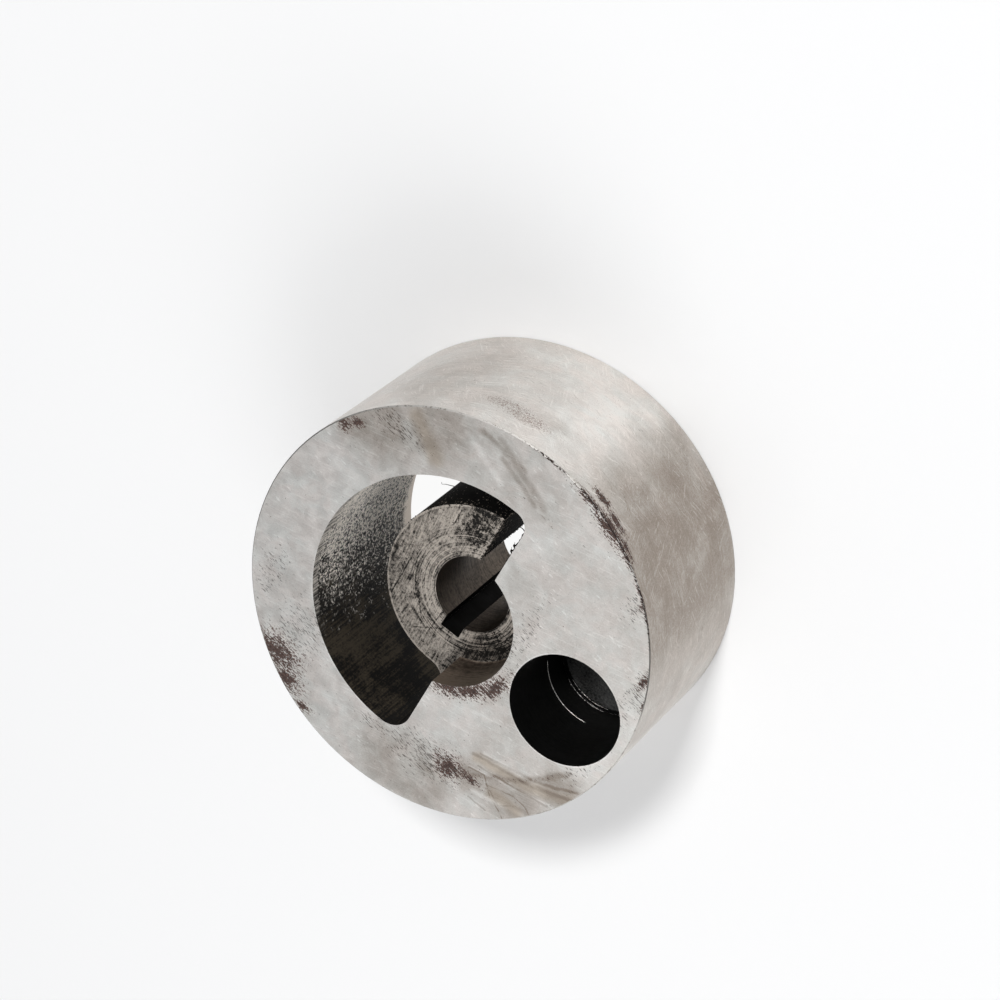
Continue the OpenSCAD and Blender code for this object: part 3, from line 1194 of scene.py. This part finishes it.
# %% [markdown]
# The burr along the web's edge. The slot was milled last, and the cutter left a black wire of
# metal on the edge of the web from the slot's end to about halfway down, with two knobs, and
# one loose thread from its end across to the pocket's wall.

# %% Make the burr on the web's edge
WEB_BURR_PATH = [
    (-5.75, -36.9, 55.62), (-6.05, -36.2, 55.70), (-6.15, -35, 55.72), (-6.12, -33.4, 55.72),
    (-5.95, -31.8, 55.70), (-5.98, -29.8, 55.72), (-6.05, -27.4, 55.78), (-6.05, -24.4, 55.82),
    (-6.02, -21.5, 55.86), (-6.02, -19.2, 55.90),
]
WEB_BURR_KNOBS = [(-31.1, 0.55), (-29.3, 0.5), (-33.6, 0.16), (-35.4, 0.14)]
LOOSE_THREAD = [
    (-5.9, -36.6, 55.6), (-5.2, -36.9, 55.55), (-4.1, -36.7, 55.3), (-3, -37.4, 54.6),
    (-2.2, -39.95, 53.6),
]
BURR_SEED = 11
WIRE_POINTS = 120
WIRE_R = (0.25, 0.05)
LOOSE_POINTS = 40
LOOSE_R = (0.13, 0.06)
BRISTLE_POINTS = 10
BRISTLE_R = (0.12, 0.03)
KNOB_HALF = 0.28
KNOB_SWELL = 0.28


def web_burr():
    """The wire's radius shrinks towards the rear end and swells by a bell curve at each knob,
    with seeded unevenness between. Knobs also lean out into the pocket."""
    rng = np.random.default_rng(BURR_SEED)
    path = smooth_path(WEB_BURR_PATH, WIRE_POINTS)
    y = path[:, 1]
    share = (y - y[0]) / (y[-1] - y[0])
    uneven = np.convolve(rng.normal(0, 1, len(y) + 4), np.ones(5) / 5, "valid")
    radius = (WIRE_R[1] + (WIRE_R[0] - WIRE_R[1]) * (1 - share)) * (1 + 0.25 * uneven)
    radius *= np.minimum(1, np.minimum(share, 1 - share) * 14 + 0.1)
    for knob_y, size in WEB_BURR_KNOBS:
        bell = np.exp(-(((y - knob_y) / KNOB_HALF) ** 2))
        radius += KNOB_SWELL * size * bell
        path[:, 0] += size * bell
        path[:, 2] -= 0.5 * size * bell
    path[:, 0] += 0.05 * uneven
    path[:, 2] = np.minimum(path[:, 2], drum_length - radius - 0.01)
    loose = smooth_path(LOOSE_THREAD, LOOSE_POINTS)
    parts = [thread(path, radius), thread(loose, np.linspace(*LOOSE_R, LOOSE_POINTS))]
    for knob_y, size in WEB_BURR_KNOBS[:2]:
        bend = [(-5.7, knob_y, 55.5), (-5.4, knob_y - 0.3, 55.4), (-5.05, knob_y - 0.9, 55.3)]
        bristle = smooth_path(bend, BRISTLE_POINTS)
        parts.append(thread(bristle, np.linspace(*BRISTLE_R, BRISTLE_POINTS)))
    new_piece("web_edge_burr", *joined(parts), "oily_burr")


web_burr()

# %% [markdown]
# A curl of swarf still hangs on the hub's rear edge and shows black against the light gap. Three
# lines in the pin hole were left by its boring tool: a ridge where the tool paused on the way
# down, a raised lip in the corner of the floor, and a ring just inside the lip. All three catch
# the light as thin bright arcs.

# %% Make the curl and the pin hole's lines
CURL_PATH = [
    (25.6, 2.3, 0.45), (26.6, 2.7, 0.40), (27.5, 3, 0.30), (28.3, 3.3, 0.25), (29.4, 3.9, 0.22),
    (30.5, 4.4, 0.25), (31.5, 5.2, 0.35), (31.75, 4.5, 0.45),
]
CURL_POINTS = 36
CURL_R = (0.16, 0.05)
ARC_POINTS = 90
THINNEST = 0.015


def pin_hole_arc(name, radius, height, start, end, unevenness, thick):
    """A thread on a circle about the pin hole's axis: (pin_x + r cos t, r sin t, height), thickest
    in its middle and broken by seeded unevenness."""
    rng = np.random.default_rng(int(height))
    angle = np.radians(np.linspace(start, end, ARC_POINTS))
    uneven = np.convolve(rng.normal(0, 1, ARC_POINTS + 2), np.ones(3) / 3, "valid")
    level = height + 0.03 * uneven
    path = np.stack([pin_x + radius * np.cos(angle), radius * np.sin(angle), level], axis=1)
    swell = np.sin(np.linspace(0, np.pi, ARC_POINTS)) ** 0.6
    sizes = thick * (0.15 + 0.85 * swell) * (1 + unevenness * uneven)
    new_piece(name, *thread(path, np.maximum(sizes, THINNEST)), "bright_burr")


curl = smooth_path(CURL_PATH, CURL_POINTS)
new_piece("swarf_curl", *thread(curl, np.linspace(*CURL_R, CURL_POINTS)), "oily_burr")
pin_hole_arc("pin_hole_tool_ridge", pin_r - 0.02, 33, 26, 103, 0.25, 0.16)
pin_hole_arc("pin_hole_floor_lip", pin_r - 0.05, pin_floor_z + 0.55, 60, 108, 0.8, 0.11)
pin_hole_arc("pin_hole_floor_ring", pin_r - 0.90, pin_floor_z + 0.02, 62, 112, 0.8, 0.10)

# %% [markdown]
# Crumbs. Fine chips stick in the oil along the hub's edges and make them ragged. They are many
# and small, so each is one rough grain of twenty faces. All the dark ones are one piece, and
# the few light ones another. Their places are random within bands along the edges, from a
# fixed seed.

# %% Make the crumbs on the hub's edges
PLACE_SEED = 5
DARK_SEED = 6
DARK_COUNT = 60
DARK_SIZES = (0.07, 0.22)
LIGHT_SEED = 7
LIGHT_COUNT = 26
LIGHT_SIZES = (0.06, 0.18)


def grain_shape():
    """A ball of twenty faces: the twelve corners lie on three golden rectangles."""
    golden = (1 + 5 ** 0.5) / 2
    corners = []
    for a in (-1, 1):
        for b in (-golden, golden):
            corners += [(0, a, b), (a, b, 0), (b, 0, a)]
    ball = bmesh.new()
    for corner in corners:
        ball.verts.new(corner)
    bmesh.ops.convex_hull(ball, input=ball.verts)
    bmesh.ops.recalc_face_normals(ball, faces=ball.faces)
    vertices = np.array([vertex.co[:] for vertex in ball.verts]) / math.hypot(1, golden)
    faces = [[vertex.index for vertex in face.verts] for face in ball.faces]
    ball.free()
    return vertices, faces


def crumbs(name, centres, sizes, finish, seed):
    """At each centre the ball, with its corners pushed in and out at random, flattened, turned
    and scaled: vertices = (ball * jitter * size) @ turn + centre, for all grains at once."""
    rng = np.random.default_rng(seed)
    ball, ball_faces = grain_shape()
    count = len(centres)
    shapes = ball[None] * rng.uniform(0.65, 1.3, (count, len(ball), 1))
    shapes *= rng.uniform(0.5, 1.5, (count, 1, 3)) * sizes[:, None, None]
    turns = np.linalg.qr(rng.normal(size=(count, 3, 3)))[0]
    turns[np.linalg.det(turns) < 0, :, 0] *= -1
    vertices = np.einsum("nij,nkj->nik", shapes, turns) + centres[:, None, :]
    parts = [(vertices[i], ball_faces) for i in range(count)]
    new_piece(name, *joined(parts), finish)


def hub_rim_places(count, rng):
    """On the hub's front rim, from the slot to the pocket's side."""
    angle = np.radians(rng.uniform(-84, -8, count))
    r = HUB_R - rng.uniform(-0.05, 0.25, count)
    z = hub_face_z + rng.uniform(-0.1, 0.06, count)
    return np.stack([r * np.cos(angle), r * np.sin(angle), z], axis=1)


def cut_edge_places(count, rng):
    """On the cut face's front edge and down the edge where it meets the bore."""
    front = np.stack([
        CUT_X + rng.uniform(-0.05, 0.3, count),
        rng.uniform(-25.3, -11, count),
        hub_face_z + rng.uniform(-0.1, 0.06, count),
    ], axis=1)
    bore_edge_y = -math.sqrt(bore_r ** 2 - CUT_X ** 2)
    inner = np.stack([
        CUT_X + rng.uniform(-0.10, 0.05, count),
        bore_edge_y + rng.uniform(-0.25, 0.05, count),
        rng.uniform(3, hub_face_z, count),
    ], axis=1)
    return np.concatenate([front, inner])


rng = np.random.default_rng(PLACE_SEED)
dark_places = np.concatenate([hub_rim_places(DARK_COUNT, rng), cut_edge_places(DARK_COUNT, rng)])
dark_sizes = rng.uniform(*DARK_SIZES, len(dark_places))
crumbs("dark_crumbs", dark_places, dark_sizes, "oily_burr", DARK_SEED)
light_places = cut_edge_places(LIGHT_COUNT, rng)[LIGHT_COUNT:]
light_sizes = rng.uniform(*LIGHT_SIZES, len(light_places))
crumbs("light_crumbs", light_places, light_sizes, "bright_burr", LIGHT_SEED)
